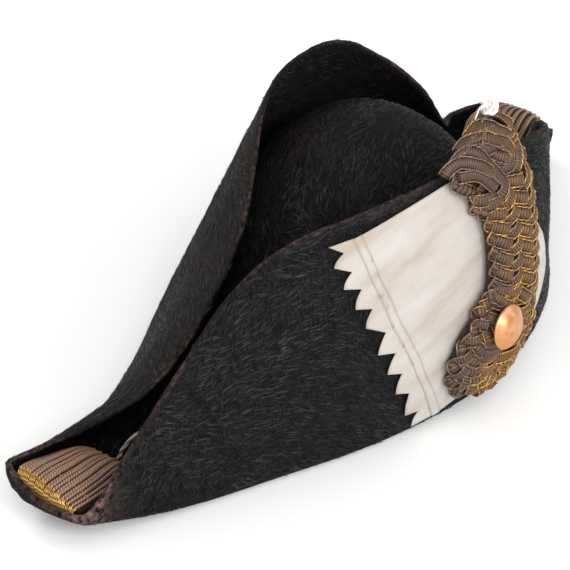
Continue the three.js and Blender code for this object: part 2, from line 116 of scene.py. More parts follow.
def felt_material():
    """Beaver felt, a dense fur mat with a short nap brushed in swirls: matt, faintly lit on the nap, and with
    painted sheen that browns the faces turned to the back.
    """
    material, tree, shader = new_material(
        "beaver_felt", Roughness=0.88, IOR=1.45, Specular_IOR_Level=0.1
    )
    place = node(tree, "ShaderNodeTexCoord").outputs["Object"]
    # Swirls about 60 mm wide turn the brushed direction.
    swirl = node(tree, "ShaderNodeTexNoise", {"Vector": place, "Scale": 17.0, "Detail": 1.0})
    bent = node(
        tree, "ShaderNodeVectorMath", {0: swirl.outputs["Color"], "Scale": 0.035}, operation="SCALE"
    )
    bent = node(tree, "ShaderNodeVectorMath", {0: place, 1: bent.outputs[0]}, operation="ADD")
    # Tufts about 0.7 mm wide and 4 mm long.
    drawn = node(tree, "ShaderNodeMapping", {"Vector": bent.outputs[0], "Scale": (1500.0, 1500.0, 260.0)})
    tufts = node(tree, "ShaderNodeTexNoise", {"Vector": drawn.outputs[0], "Scale": 1.0, "Detail": 3.0})
    patches = node(tree, "ShaderNodeTexNoise", {"Vector": place, "Scale": 28.0, "Detail": 3.0})
    black = node(
        tree, "ShaderNodeValToRGB", {"Fac": tufts.outputs["Fac"]},
        stops=[(0.34, "#070708"), (0.52, "#121113"), (0.7, "#242122")],
    ).outputs["Color"]
    brown = node(
        tree, "ShaderNodeValToRGB", {"Fac": tufts.outputs["Fac"]},
        stops=[(0.34, "#0d0b0a"), (0.52, "#1f1b18"), (0.7, "#3a332d")],
    ).outputs["Color"]
    share = node(tree, "ShaderNodeMapRange", {"Value": patches.outputs["Fac"], 1: 0.5, 2: 0.72})
    sheen_facing = node(tree, "ShaderNodeSeparateXYZ", {0: node(tree, "ShaderNodeTexCoord").outputs["Normal"]})
    # Painted sheen: the more a face turns to the back, the browner and lighter it is painted, most on the
    # outside of the rear fan, where grazing light shows on its nap.
    share = node(
        tree, "ShaderNodeMath", {0: sheen_facing.outputs[1], 1: 0.9, 2: share.outputs[0]},
        operation="MULTIPLY_ADD", use_clamp=True,
    )
    body = node(
        tree, "ShaderNodeMix", {0: share.outputs[0], 6: black, 7: brown},
        data_type="RGBA",
    ).outputs[2]
    wear = node(tree, "ShaderNodeAttribute", attribute_name="wear").outputs["Fac"]
    rubbed = node(tree, "ShaderNodeTexNoise", {"Vector": place, "Scale": 420.0, "Detail": 4.0})
    rubbed = node(tree, "ShaderNodeMapRange", {"Value": rubbed.outputs["Fac"], 1: 0.38, 2: 0.62})
    amount = node(tree, "ShaderNodeMath", {0: wear, 1: rubbed.outputs[0]}, operation="MULTIPLY")
    colour = node(
        tree, "ShaderNodeMix", {0: amount.outputs[0], 6: body, 7: "#7c6259"},
        data_type="RGBA",
    ).outputs[2]
    tree.links.new(colour, shader.inputs["Base Color"])
    bump = node(
        tree, "ShaderNodeBump",
        {"Height": tufts.outputs["Fac"], "Strength": 0.6, "Distance": 0.0006},
    )
    tree.links.new(bump.outputs[0], shader.inputs["Normal"])
    return material


def nap_material():
    """Loose beaver fur of the nap: fine dark hairs that differ in tone, the lightest brown tints painted
    highlights where the nap catches the light.
    """
    material, tree, shader = new_material(
        "brushed_fur", Roughness=0.5, IOR=1.5, Specular_IOR_Level=0.25
    )
    tint = node(tree, "ShaderNodeAttribute", attribute_name="tint").outputs["Fac"]
    # The lightest brown stops are painted highlights of the nap.
    colour = node(
        tree, "ShaderNodeValToRGB", {"Fac": tint},
        stops=[(0.0, "#060606"), (0.42, "#131213"), (0.72, "#2e2929"), (1.0, "#4c423c")],
    ).outputs["Color"]
    tree.links.new(colour, shader.inputs["Base Color"])
    return material


def silk_material():
    """Ribbed silk ribbon, once white and now cream: satin, with a fine rib across and faint stains."""
    material, tree, shader = new_material("ribbed_silk", Roughness=0.52, IOR=1.5, Sheen_Weight=0.15)
    place = node(tree, "ShaderNodeTexCoord").outputs["Object"]
    # The rib is 0.3 mm in the cloth and is drawn at 0.6 mm, so that it shows close up.
    turned = node(tree, "ShaderNodeMapping", {"Vector": place, "Rotation": (0.0, math.radians(24), 0.0)})
    ribs = node(
        tree, "ShaderNodeTexWave",
        {
            "Vector": turned.outputs[0], "Scale": 520.0, "Distortion": 1.2,
            "Detail": 2.0, "Detail Scale": 2.0,
        },
        wave_type="BANDS", bands_direction="X",
    )
    # Long soft creases and stains run along the ribbon.
    drawn = node(tree, "ShaderNodeMapping", {"Vector": turned.outputs[0], "Scale": (1.0, 1.0, 3.4)})
    stains = node(tree, "ShaderNodeTexNoise", {"Vector": drawn.outputs[0], "Scale": 30.0, "Detail": 5.0})
    colour = node(
        tree, "ShaderNodeValToRGB", {"Fac": stains.outputs["Fac"]},
        stops=[(0.3, "#a09387"), (0.5, "#aca49d"), (0.7, "#b2aea9")],
    ).outputs["Color"]
    colour = node(
        tree, "ShaderNodeMix", {0: 0.035, 6: colour, 7: ribs.outputs["Color"]},
        data_type="RGBA", blend_type="MULTIPLY",
    ).outputs[2]
    seam = node(tree, "ShaderNodeAttribute", attribute_name="seam").outputs["Fac"]
    colour = node(
        tree, "ShaderNodeMix", {0: seam, 6: colour, 7: "#9c8768"},
        data_type="RGBA",
    ).outputs[2]
    tree.links.new(colour, shader.inputs["Base Color"])
    crease = node(tree, "ShaderNodeTexNoise", {"Vector": place, "Scale": 90.0, "Detail": 3.0})
    height = node(
        tree, "ShaderNodeMath", {0: ribs.outputs["Fac"], 1: 0.25, 2: crease.outputs["Fac"]},
        operation="MULTIPLY_ADD",
    )
    bump = node(
        tree, "ShaderNodeBump",
        {"Height": height.outputs[0], "Strength": 0.22, "Distance": 0.0005},
    )
    tree.links.new(bump.outputs[0], shader.inputs["Normal"])
    return material


def bullion_material(name, groove, tarnished, gilt, roughness, metal=0.55):
    """Gilt wire wound on thread: bright on the crest of each turn, brown with tarnish between turns."""
    material, tree, shader = new_material(name, Roughness=roughness, Metallic=metal)
    place = node(tree, "ShaderNodeTexCoord").outputs["Object"]
    ridge = node(tree, "ShaderNodeAttribute", attribute_name="ridge").outputs["Fac"]
    gold = node(tree, "ShaderNodeAttribute", attribute_name="gilt").outputs["Fac"]
    patches = node(tree, "ShaderNodeTexNoise", {"Vector": place, "Scale": 260.0, "Detail": 3.0})
    bright = node(
        tree, "ShaderNodeMath", {0: patches.outputs["Fac"], 1: 1.6, 2: -0.8}, operation="MULTIPLY_ADD"
    )
    bright = node(
        tree, "ShaderNodeMath", {0: gold, 1: bright.outputs[0]}, operation="ADD", use_clamp=True
    )
    crest = node(
        tree, "ShaderNodeMix", {0: bright.outputs[0], 6: tarnished, 7: gilt},
        data_type="RGBA",
    ).outputs[2]
    # The groove colour is tarnish between turns, and painted shade at a strand's sides where its ridge value
    # is lowered.
    colour = node(
        tree, "ShaderNodeMix", {0: ridge, 6: groove, 7: crest},
        data_type="RGBA",
    ).outputs[2]
    tree.links.new(colour, shader.inputs["Base Color"])
    return material


def button_material():
    """Fire-gilt copper button, polished by wear: warm and smooth, in copper and gold patches, with a painted
    highlight that leaves its upper half lighter and pinker.
    """
    material, tree, shader = new_material("gilt_copper", Roughness=0.38, Metallic=0.9)
    place = node(tree, "ShaderNodeTexCoord").outputs["Object"]
    patches = node(tree, "ShaderNodeTexNoise", {"Vector": place, "Scale": 170.0, "Detail": 4.0})
    colour = node(
        tree, "ShaderNodeValToRGB", {"Fac": patches.outputs["Fac"]},
        stops=[(0.35, "#c28050"), (0.55, "#d69e7c"), (0.7, "#cf934b")],
    ).outputs["Color"]
    # Painted highlight: the upper half stays lighter and pinker, and the lower half is painted a deeper orange
    # gold.
    height = node(tree, "ShaderNodeSeparateXYZ", {0: place}).outputs[2]
    low = node(tree, "ShaderNodeMapRange", {"Value": height, 1: 0.058, 2: 0.044, 3: 0.0, 4: 0.75})
    colour = node(
        tree, "ShaderNodeMix", {0: low.outputs[0], 6: colour, 7: "#cf8a38"},
        data_type="RGBA",
    ).outputs[2]
    tree.links.new(colour, shader.inputs["Base Color"])
    bump = node(
        tree, "ShaderNodeBump",
        {"Height": patches.outputs["Fac"], "Strength": 0.12, "Distance": 0.0004},
    )
    tree.links.new(bump.outputs[0], shader.inputs["Normal"])
    return material


def wool_material():
    """Dark brown wool roving, the stuffing under the cords: matt and dull."""
    material, tree, shader = new_material("brown_wool_core", Roughness=0.95)
    place = node(tree, "ShaderNodeTexCoord").outputs["Object"]
    lint = node(tree, "ShaderNodeTexNoise", {"Vector": place, "Scale": 700.0, "Detail": 3.0})
    colour = node(
        tree, "ShaderNodeValToRGB", {"Fac": lint.outputs["Fac"]},
        stops=[(0.3, "#120d0a"), (0.7, "#2e231b")],
    ).outputs["Color"]
    tree.links.new(colour, shader.inputs["Base Color"])
    return material


def cotton_material():
    """Loosely spun white cotton thread: matt and slightly furry."""
    material, tree, shader = new_material("cotton_thread", Roughness=0.9, IOR=1.5)
    place = node(tree, "ShaderNodeTexCoord").outputs["Object"]
    lint = node(tree, "ShaderNodeTexNoise", {"Vector": place, "Scale": 900.0, "Detail": 2.0})
    colour = node(
        tree, "ShaderNodeValToRGB", {"Fac": lint.outputs["Fac"]},
        stops=[(0.35, "#d9d4cd"), (0.6, "#f4f1ed")],
    ).outputs["Color"]
    tree.links.new(colour, shader.inputs["Base Color"])
    bump = node(
        tree, "ShaderNodeBump",
        {"Height": lint.outputs["Fac"], "Strength": 0.4, "Distance": 0.0004},
    )
    tree.links.new(bump.outputs[0], shader.inputs["Normal"])
    return material


def cord_material():
    """Silk cord faded to grey brown: two plies, with a soft gloss along them."""
    material, tree, shader = new_material("faded_silk_cord", Roughness=0.6, IOR=1.5)
    place = node(tree, "ShaderNodeTexCoord").outputs["Object"]
    # The plies of the cord are 1.4 mm apart.
    plies = node(
        tree, "ShaderNodeTexWave", {"Vector": place, "Scale": 230.0, "Distortion": 1.5, "Detail": 1.0},
        wave_type="BANDS", bands_direction="DIAGONAL",
    )
    colour = node(
        tree, "ShaderNodeValToRGB", {"Fac": plies.outputs["Fac"]},
        stops=[(0.1, "#5b504b"), (0.55, "#8f827b"), (0.9, "#a99d95")],
    ).outputs["Color"]
    tree.links.new(colour, shader.inputs["Base Color"])
    bump = node(
        tree, "ShaderNodeBump",
        {"Height": plies.outputs["Fac"], "Strength": 0.6, "Distance": 0.0003},
    )
    tree.links.new(bump.outputs[0], shader.inputs["Normal"])
    return material


def floor_material():
    """White background paper: matt."""
    return new_material("paper_floor", Roughness=0.9, IOR=1.45, Base_Color=linear("#fbfbfa"))[0]


# Shapes

# Where the three parts of a noise with a direction are read. mathutils takes such places from the clock.
NOISE_PLACES = [Vector((0.37, -0.82, 0.15)), Vector((-0.56, 0.24, 0.91)), Vector((0.68, 0.49, -0.73))]


def wander(point):
    """Smooth noise with a direction, the same in each run."""
    return Vector([noise.noise(point + place) for place in NOISE_PLACES])


def merged_copy(name):
    """A CAD node's mesh with its loose triangles merged, as a bmesh."""
    bm = bmesh.new()
    bm.from_mesh(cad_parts[name].data)
    bmesh.ops.remove_doubles(bm, verts=bm.verts, dist=1e-6)
    return bm


def tree_of(*names):
    """Something to cast rays at, made of CAD nodes."""
    joined = bmesh.new()
    for name in names:
        joined.from_mesh(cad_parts[name].data)
    made = BVHTree.FromBMesh(joined)
    joined.free()
    return made


def finish_piece(bm, name, material, replaces=(), smooth=True):
    """Makes a bmesh a piece of the hat."""
    mesh = bpy.data.meshes.new(name)
    bm.to_mesh(mesh)
    bm.free()
    return finish_mesh(mesh, name, material, replaces, smooth)


def finish_mesh(mesh, name, material, replaces=(), smooth=True):
    """Gives a mesh its material and body, and hides the CAD nodes that it stands for."""
    mesh.materials.clear()
    mesh.materials.append(material)
    mesh.polygons.foreach_set("use_smooth", [smooth] * len(mesh.polygons))
    piece = bpy.data.objects.new(name, mesh)
    bpy.context.scene.collection.objects.link(piece)
    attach(piece, "root")
    if replaces:
        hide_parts(*replaces)
    return piece


def along_line(points, spacing):
    """The points of a line at even distances."""
    points = np.array(points, float)
    gaps = np.linalg.norm(np.diff(points[:, :3], axis=0), axis=1)
    reached = np.concatenate([[0.0], np.cumsum(gaps)])
    count = max(int(reached[-1] / spacing), 4)
    wanted = np.linspace(0.0, reached[-1], count + 1)
    return np.stack([np.interp(wanted, reached, points[:, k]) for k in range(points.shape[1])], axis=1)


def softened(values, reach):
    """Each row averaged with its neighbours, the ends kept."""
    padded = np.pad(values, ((reach, reach), (0, 0)), mode="edge")
    window = np.ones(2 * reach + 1) / (2 * reach + 1)
    columns = range(values.shape[1])
    made = np.stack([np.convolve(padded[:, k], window, mode="valid") for k in columns], axis=1)
    made[0], made[-1] = values[0], values[-1]
    return made


def frames_along(points, normals):
    """Side and outward directions of a cord that lies on a surface."""
    tangents = np.gradient(points, axis=0)
    sides = np.cross(tangents, normals)
    sides /= np.linalg.norm(sides, axis=1)[:, None] + 1e-12
    outs = np.cross(sides, tangents)
    outs /= np.linalg.norm(outs, axis=1)[:, None] + 1e-12
    return sides, outs


def add_cord(bm, points, normals, wide, thick, sides, winding, gilt):
    """A closed cord along points. winding(ring, angle) gives its size, and how far it is a crest."""
    count = len(points)
    side_ways, out_ways = frames_along(points, normals)
    ridge_layer = bm.verts.layers.float.get("ridge") or bm.verts.layers.float.new("ridge")
    gilt_layer = bm.verts.layers.float.get("gilt") or bm.verts.layers.float.new("gilt")
    made = bmesh.ops.create_grid(bm, x_segments=count - 1, y_segments=sides, size=1.0)["verts"]
    for vert in made:
        ring = round((vert.co.x + 1) / 2 * (count - 1))
        angle = (vert.co.y + 1) * math.pi
        size, crest = winding(ring, angle)
        if ring in (0, count - 1):
            size = 0.0
        aside = side_ways[ring] * (math.cos(angle) * wide * size / 2)
        out = out_ways[ring] * (math.sin(angle) * thick * size / 2)
        vert.co = Vector(points[ring] + (aside + out))
        vert[ridge_layer] = crest
        vert[gilt_layer] = gilt(vert.co)


def weld(bm):
    """Closes each cord's seam and its two ends."""
    bmesh.ops.remove_doubles(bm, verts=bm.verts, dist=2e-6)
    bmesh.ops.recalc_face_normals(bm, faces=bm.faces)


def wrapped(ring, angle):
    """Winding of a cord wrapped with wire, one turn to three rings, with painted shade darkening its sides
    where it meets the next strand.
    """
    crest = (0.0, 1.0, 0.75)[ring % 3]
    return 0.78 + 0.22 * crest, crest * (0.25 + 0.75 * abs(math.sin(angle)))


def twisted(plies, rings):
    """Winding of a cord twisted from plies, one full turn in this many rings."""
    def winding(ring, angle):
        crest = 0.5 + 0.5 * math.cos(plies * angle - 2 * math.pi * ring / rings)
        return 0.8 + 0.2 * crest, crest
    return winding


def plain(point):
    """The gilding of a cord that has none."""
    return 0.0


# Felt

# The head hollow in metres: its middle along y, and half its length and depth.
HEAD_MIDDLE, HEAD_HALF_LENGTH, HEAD_HALF_DEPTH = 0.0108, 0.092, 0.0725
HAIRS_A_LOCK = 7


def felt_piece():
    """The felt with its corners rounded and its walls a little uneven. Also gives points along its edges."""
    bm = merged_copy("felt_body")
    crease = bm.edges.layers.float.get("crease_edge") or bm.edges.layers.float.new("crease_edge")
    bmesh.ops.join_triangles(
        bm, faces=bm.faces,
        angle_face_threshold=math.radians(50), angle_shape_threshold=math.radians(60),
    )
    rim = []
    for edge in bm.edges:
        if len(edge.link_faces) == 2 and edge.calc_face_angle() > 1.0 and edge.verts[0].co.z > 4 * MM:
            edge[crease] = 0.35
            rim.extend([edge.verts[0].co.lerp(edge.verts[1].co, k / 8) for k in range(9)])
    rough = bpy.data.meshes.new("felt_rough")
    bm.to_mesh(rough)
    bm.free()
    holder = bpy.data.objects.new("felt_rough", rough)
    bpy.context.scene.collection.objects.link(holder)
    subdivision = holder.modifiers.new("subdivision", "SUBSURF")
    subdivision.levels = subdivision.render_levels = 2
    graph = bpy.context.evaluated_depsgraph_get()
    mesh = bpy.data.meshes.new_from_object(holder.evaluated_get(graph))
    bpy.data.objects.remove(holder)

    edges = kdtree.KDTree(len(rim))
    for index, point in enumerate(rim):
        edges.insert(point, index)
    edges.balance()
    bm = bmesh.new()
    bm.from_mesh(mesh)
    bm.normal_update()
    wear_layer = bm.verts.layers.float.new("wear")
    for vert in bm.verts:
        start = vert.co.copy()
        reach = edges.find(start)[2]
        shift = wander(start * 16) * 1.1 * MM + wander(start * 55) * 0.3 * MM
        near = math.exp(-((reach / (3 * MM)) ** 2))
        shift += wander(start * 210) * 0.4 * MM * near
        settled = min(max((start.z - 3 * MM) / (25 * MM), 0.0), 1.0)
        vert.co = start + shift * settled
        vert.co.z = max(vert.co.z, 0.0)
        # The left tip's front corner is rubbed bare, and the left edges are more worn than the right.
        corner = math.exp(-(((start.x + 0.222) / 0.012) ** 2 + ((start.y - 0.008) / 0.009) ** 2))
        left = min(max((-0.02 - start.x) / 0.12, 0.0), 1.0)
        rubbed = min(max(0.12 + 0.14 * left + 1.1 * noise.noise(start * 24), 0.05), 0.8)
        edge_wear = math.exp(-((reach / (1.3 * MM)) ** 2)) * rubbed
        vert[wear_layer] = min(edge_wear + corner * 0.6, 1.0)
    return finish_piece(bm, "felt_hat", felt_material(), ["felt_body"]), rim


def lies_open(point, normal, covers, skin):
    """Whether nap shows here: not in the head hollow, under the sole or beneath the trim."""
    if point.z < 2.5 * MM and normal.z < -0.3:
        return False
    middle = Vector((point.x, point.y - HEAD_MIDDLE, 0.0))
    inside = (middle.x / HEAD_HALF_LENGTH) ** 2 + (middle.y / HEAD_HALF_DEPTH) ** 2 < 1.0
    if inside and (middle.dot(Vector((normal.x, normal.y, 0.0))) < 0 or normal.z < -0.5):
        # Straight below the wall of the head hollow there is no more felt.
        if skin.ray_cast(point + normal * 0.8 * MM, DOWN)[0] is None:
            return False
    return covers.ray_cast(point, normal, 4 * MM)[0] is None


def add_hair(hairs, base, side, tip, tint):
    """One hair, a thin blade that stays above the floor. No operator makes single hairs."""
    points, blades, tints = hairs
    start = len(points)
    for point in (base - side, base + side, tip):
        point.z = max(point.z, 0.05 * MM)
        points.append(point)
    blades.append((start, start + 1, start + 2))
    tints.extend([min(1.0, max(0.0, tint))] * 3)


def finish_hairs(hairs, name, material):
    """Makes the collected hairs one piece, each hair with its own tint."""
    points, blades, tints = hairs
    mesh = bpy.data.meshes.new(name)
    mesh.from_pydata(points, [], blades)
    mesh.attributes.new("tint", "FLOAT", "POINT").data.foreach_set("value", tints)
    return finish_mesh(mesh, name, material, smooth=False)


def nap_piece(name, felt, locks, seed, wanted, material, covers, skin):
    """Brushed fur: locks of thin hairs that lie over the felt in swirls and meet at their tip."""
    chance = random.Random(seed)
    mesh = felt.data
    faces = [
        p for p in mesh.polygons if wanted(p.normal) and lies_open(p.center, p.normal, covers, skin)
    ]
    reached = np.cumsum([p.area for p in faces])
    picks = np.searchsorted(reached, [chance.random() * reached[-1] for _ in range(locks)])
    hairs = ([], [], [])
    for pick in picks:
        face = faces[min(int(pick), len(faces) - 1)]
        corners = [mesh.vertices[v].co for v in face.vertices]
        a, b = chance.random(), chance.random()
        root = corners[0].lerp(corners[1], a).lerp(corners[-1].lerp(corners[2], a), b)
        normal = face.normal
        # Swirls about 65 mm and 17 mm wide turn the fur from the way it is brushed.
        lie = wander(root * 15) * 1.1 + wander(root * 60) * 0.55
        lie += Vector((0.75, -0.1, -0.2))
        lie += Vector([chance.gauss(0, 0.16) for _ in range(3)])
        lie -= normal * lie.dot(normal)
        if lie.length < 1e-4:
            continue
        lie.normalize()
        across = lie.cross(normal)
        length = chance.uniform(3.0, 6.0) * MM
        tip = root + lie * length + normal * (length * chance.uniform(0.04, 0.13))
        past_edge = skin.find_nearest(tip)[3] > 0.9 * MM
        if past_edge or covers.ray_cast(tip, normal, 4 * MM)[0] is not None:
            continue
        spread = chance.uniform(0.25, 0.6) * MM
        roll = normal * chance.uniform(-0.6, 0.6)
        # Each lock's tint differs at random; the lightest tints are painted highlights of the nap.
        tuft = 0.3 * noise.noise(root * 90) + 0.3 * noise.noise(root * 32) + chance.gauss(0.38, 0.17)
        for _ in range(HAIRS_A_LOCK):
            shift = across * (chance.uniform(-1, 1) * spread)
            shift += lie * (chance.uniform(-0.3, 0.3) * length)
            side = (across + roll).normalized() * (chance.uniform(0.06, 0.12) * MM)
            base = root + shift - normal * 0.15 * MM
            add_hair(hairs, base, side, tip + shift * 0.45, tuft + chance.gauss(0, 0.07))
    return finish_hairs(hairs, name, material)


def edge_fur_piece(rim, material, skin):
    """Frayed fur along the worn edges of the flaps."""
    chance = random.Random(11)
    hairs = ([], [], [])
    for near in rim:
        for _ in range(2):
            start = near + Vector([chance.gauss(0, 0.5) * MM for _ in range(3)])
            root, normal, _, _ = skin.find_nearest(start)
            lie = (normal * 0.7 + Vector([chance.gauss(0, 0.6) for _ in range(3)])).normalized()
            side = lie.cross(Vector([chance.gauss(0, 1) for _ in range(3)])).normalized() * 0.09 * MM
            tip = root + lie * chance.uniform(0.2, 0.75) * MM
            add_hair(hairs, root - normal * 0.2 * MM, side, tip, chance.gauss(0.62, 0.2))
    return finish_hairs(hairs, "edge_fur", material)


# Cockade: x and z in millimetres on the front flap, from its lower border up.

LEFT_TEETH = [
    (-68.5, 6.0), (-66.7, 14.6), (-75.6, 15.9), (-77.4, 30.2), (-84.9, 32.6), (-83.6, 43.7), (-91.2, 45.8),
    (-88.0, 56.4), (-96.8, 58.1), (-93.2, 68.6), (-102.0, 73.3), (-98.8, 82.3), (-106.1, 83.9),
    (-102.2, 92.6), (-109.7, 94.2), (-105.2, 101.4), (-112.3, 104.9), (-106.8, 110.3), (-112.4, 114.2),
]
TUCK_OUTER = [(-56.2, 6.6), (-74.5, 38.0), (-89.8, 70.0), (-97.2, 94.0), (-101.8, 115.5)]
TUCK_INNER = [(-51.2, 7.4), (-70.3, 38.5), (-85.8, 70.8), (-93.6, 94.6), (-98.0, 116.3)]
RIGHT_END = [
    (29.0, 31.0), (38.0, 43.0), (30.0, 56.0), (19.4, 70.4), (3.4, 89.1), (-8.0, 104.0), (-16.0, 131.0),
]
TOP_EDGE = [
    (-98.0, 116.3), (-86.6, 119.6), (-77.6, 122.4), (-68.4, 125.1), (-57.0, 128.5), (-46.5, 130.6),
    (-16.0, 131.0),
]
LOWER_EDGE = [(-51.2, 7.4), (-43.8, 9.7), (-38.3, 11.6), (-15.0, 19.0), (8.0, 25.5), (29.0, 31.0)]


def on_line(line, share):
    """The point at a share of a line's points."""
    place = share * (len(line) - 1)
    index = min(int(place), len(line) - 2)
    t = place - index
    return np.array(line[index]) * (1 - t) + np.array(line[index + 1]) * t


# Lines across the ribbon, each with its shift, the columns up to the next one, and its lift in millimetres.
GUIDES = [
    (LEFT_TEETH, 0.0, 6, 0.25), (TUCK_OUTER, -0.35, 1, 0.5), (TUCK_OUTER, 0.0, 1, -0.05),
    (TUCK_OUTER, 0.35, 3, 0.85), (TUCK_INNER, -0.35, 1, 0.85), (TUCK_INNER, 0.0, 1, -0.05),
    (TUCK_INNER, 0.35, 70, 0.45), (RIGHT_END, 0.0, 0, 0.45),
]
# Each seam lies at the end of one stretch and the start of the next.
SEAMS = {(1, 1.0), (2, 0.0), (4, 1.0), (5, 0.0)}


def cockade_piece():
    """The ribbon's visible face, laid on the front flap, with its pinked end and the tuck beside it."""
    felt = tree_of("felt_body")
    rows = (len(LEFT_TEETH) - 1) * 8
    columns = sum(guide[2] for guide in GUIDES)
    bm = bmesh.new()
    seam_layer = bm.verts.layers.float.new("seam")
    made = bmesh.ops.create_grid(bm, x_segments=columns, y_segments=rows, size=1.0)["verts"]
    for vert in made:
        column = round((vert.co.x + 1) / 2 * columns)
        v = (vert.co.y + 1) / 2
        index = 0
        while index < len(GUIDES) - 2 and column > GUIDES[index][2]:
            column -= GUIDES[index][2]
            index += 1
        t = column / GUIDES[index][2]
        ends = [on_line(g[0], v) + np.array([g[1], 0.0]) for g in GUIDES[index:index + 2]]
        spot = ends[0] * (1 - t) + ends[1] * t
        if index == len(GUIDES) - 2:
            top, low = (
                on_line(line, t) - (np.array(line[0]) * (1 - t) + np.array(line[-1]) * t)
                for line in (TOP_EDGE, LOWER_EDGE)
            )
            spot = spot + top * v + low * (1 - v)
        if index == 0:
            place = v * (len(LEFT_TEETH) - 1)
            spot[0] -= 0.9 * (1 - t) * math.sin(math.pi * (place % 1)) * (int(place) % 2 == 0)
        lift = GUIDES[index][3] * (1 - t) + GUIDES[index + 1][3] * t
        x, z = spot * MM
        hit, normal, _, _ = felt.ray_cast(Vector((x, -0.3, z)), Vector((0, 1, 0)))
        if hit is None:
            hit, normal, _, _ = felt.find_nearest(Vector((x, -0.09, z)))
        wave = noise.noise(Vector((x * 42, 3.0, z * 30))) * 0.35
        wave += noise.noise(Vector((x * 12, 9.0, z * 40))) * 0.35
        curl = 0.5 * (1 - t) * (0.5 + noise.noise(Vector((0.0, 5.0, z * 120)))) if index == 0 else 0.0
        vert.co = hit + normal * (0.55 + lift + wave * 0.5 + curl) * MM
        border = 0.4 * (v > 0.999) + 0.25 * (column == 0 and index == 0)
        vert[seam_layer] = 0.8 if (index, t) in SEAMS else border
    bmesh.ops.recalc_face_normals(bm, faces=bm.faces)
    if sum(f.normal.y for f in bm.faces) > 0:
        bmesh.ops.reverse_faces(bm, faces=bm.faces)
    piece = finish_piece(bm, "silk_cockade", silk_material(), ["cockade"])
    thickness = piece.modifiers.new("thickness", "SOLIDIFY")
    thickness.thickness, thickness.offset = 0.4 * MM, -1.0
    return piece


# Plaited loop. The rows give its middle and half width as shares of its width, from its foot up.

LOOP_WIDTH, LOOP_LEFT, LOOP_FOOT, LOOP_RISE = 38.0, 23.0, 8.0, 144.0
LOOP_ROWS = [
    (0.0, -0.2, 0.08), (0.02, -0.2, 0.25), (0.06, -0.23, 0.5), (0.15, -0.23, 0.7), (0.22, -0.2, 0.78),
    (0.3, -0.2, 0.72), (0.37, -0.11, 0.62), (0.43, -0.04, 0.53), (0.52, -0.05, 0.5), (0.67, -0.07, 0.5),
    (0.75, -0.11, 0.53), (0.81, -0.18, 0.58), (0.86, -0.33, 0.67), (0.91, -0.32, 0.6), (0.95, -0.2, 0.4),
    (0.98, -0.15, 0.25), (1.0, -0.15, 0.12),
]


def strip_line(start, end, count):
    """x, z and half width in millimetres up the middle of the loop."""
    places = np.linspace(start, end, count)
    rows = np.array(LOOP_ROWS)
    middle = np.interp(places, rows[:, 0], rows[:, 1]) * LOOP_WIDTH - LOOP_LEFT
    half = np.interp(places, rows[:, 0], rows[:, 2]) * LOOP_WIDTH
    line = np.stack([middle, LOOP_FOOT + places * LOOP_RISE, half], axis=1)
    return softened(line, 6)


def ring_line(centre, radii, start, end, half, count):
    """x, z and half width in millimetres round the bulb."""
    angles = np.radians(np.linspace(start, end, count))
    return np.stack([
        centre[0] + radii[0] * np.cos(angles), centre[1] + radii[1] * np.sin(angles), np.full(count, half)
    ], axis=1)


def wire_gilt(point):
    """The thin wires have kept more of their gilding than the strands."""
    return min(1.0, gilt_here(point) * 1.6 + 0.04)


def gilt_here(point):
    """Where the gilding has kept its colour: the middle and right of the loop, and low on the bulb."""
    right = (point.x / MM + 38 + 0.1 * (point.z / MM - 60)) / 34
    low = math.exp(-(((point.z / MM - 20) / 15) ** 2 + ((point.x / MM + 28) / 18) ** 2)) * 0.9
    patch = noise.noise(point * 110) * 0.6
    lobe = 0.3 * min(max((point.z / MM - 118) / 15, 0.0), 1.0)
    return min(1.0, max(0.0, 0.14 + 0.55 * right + low + patch - lobe))


# Strands bent round where the loop folds over the flap's edge: lift, then x, y, z, in millimetres.
FOLD_ARCS = [
    (0.3, [
        (-36.5, -71.4, 152.4), (-29.8, -72.3, 152.5), (-27.0, -75.2, 152.4), (-22.4, -78.1, 149.5),
        (-18.5, -79.5, 145.0),
    ]),
    (0.5, [
        (-45.0, -71.3, 147.5), (-42.1, -72.4, 148.7), (-37.8, -72.0, 150.2), (-34.8, -74.7, 150.6),
        (-32.5, -78.0, 149.0), (-29.5, -79.8, 147.1), (-23.0, -81.0, 142.0),
    ]),
    (0.8, [
        (-52.9, -71.4, 143.2), (-48.6, -71.6, 145.5), (-44.1, -73.3, 146.9), (-38.5, -76.6, 147.0),
        (-33.5, -79.3, 144.6), (-29.1, -81.7, 142.6), (-24.5, -82.5, 135.0),
    ]),
    (1.0, [
        (-57.0, -71.2, 139.6), (-53.9, -71.7, 142.6), (-48.7, -73.4, 143.9), (-45.5, -77.0, 142.2),
        (-43.4, -79.3, 138.0), (-38.8, -82.2, 132.0), (-35.0, -84.0, 126.0),
    ]),
    (1.9, [
        (-61.3, -69.2, 135.4), (-59.8, -69.9, 138.4), (-56.0, -71.6, 140.2), (-50.4, -75.7, 139.6),
        (-46.0, -78.8, 136.8), (-41.5, -81.5, 132.0),
    ]),
    (1.3, [
        (-56.6, -73.6, 134.0), (-52.0, -76.8, 134.6), (-47.6, -79.0, 133.6), (-44.1, -80.9, 130.5),
        (-39.0, -83.0, 124.5),
    ]),
]
# Spacing of a strand's rings, in millimetres; three of them are one turn of its wire.
RING_STEP = 0.36


def lay_strand(cords, wires, points, ways, wide, thick):
    """One flat strand wound with wire, and the thin bright cord sewn along each of its edges."""
    add_cord(cords, points, ways, wide * MM, thick * MM, 8, wrapped, gilt_here)
    sides, outs = frames_along(points, ways)
    for hand in (-1, 1):
        edge = points + sides * (hand * wide * 0.46 * MM) + outs * (0.28 * thick * MM)
        add_cord(wires, edge[::2], ways[::2], 1.0 * MM, 1.0 * MM, 5, twisted(2, 3), wire_gilt)


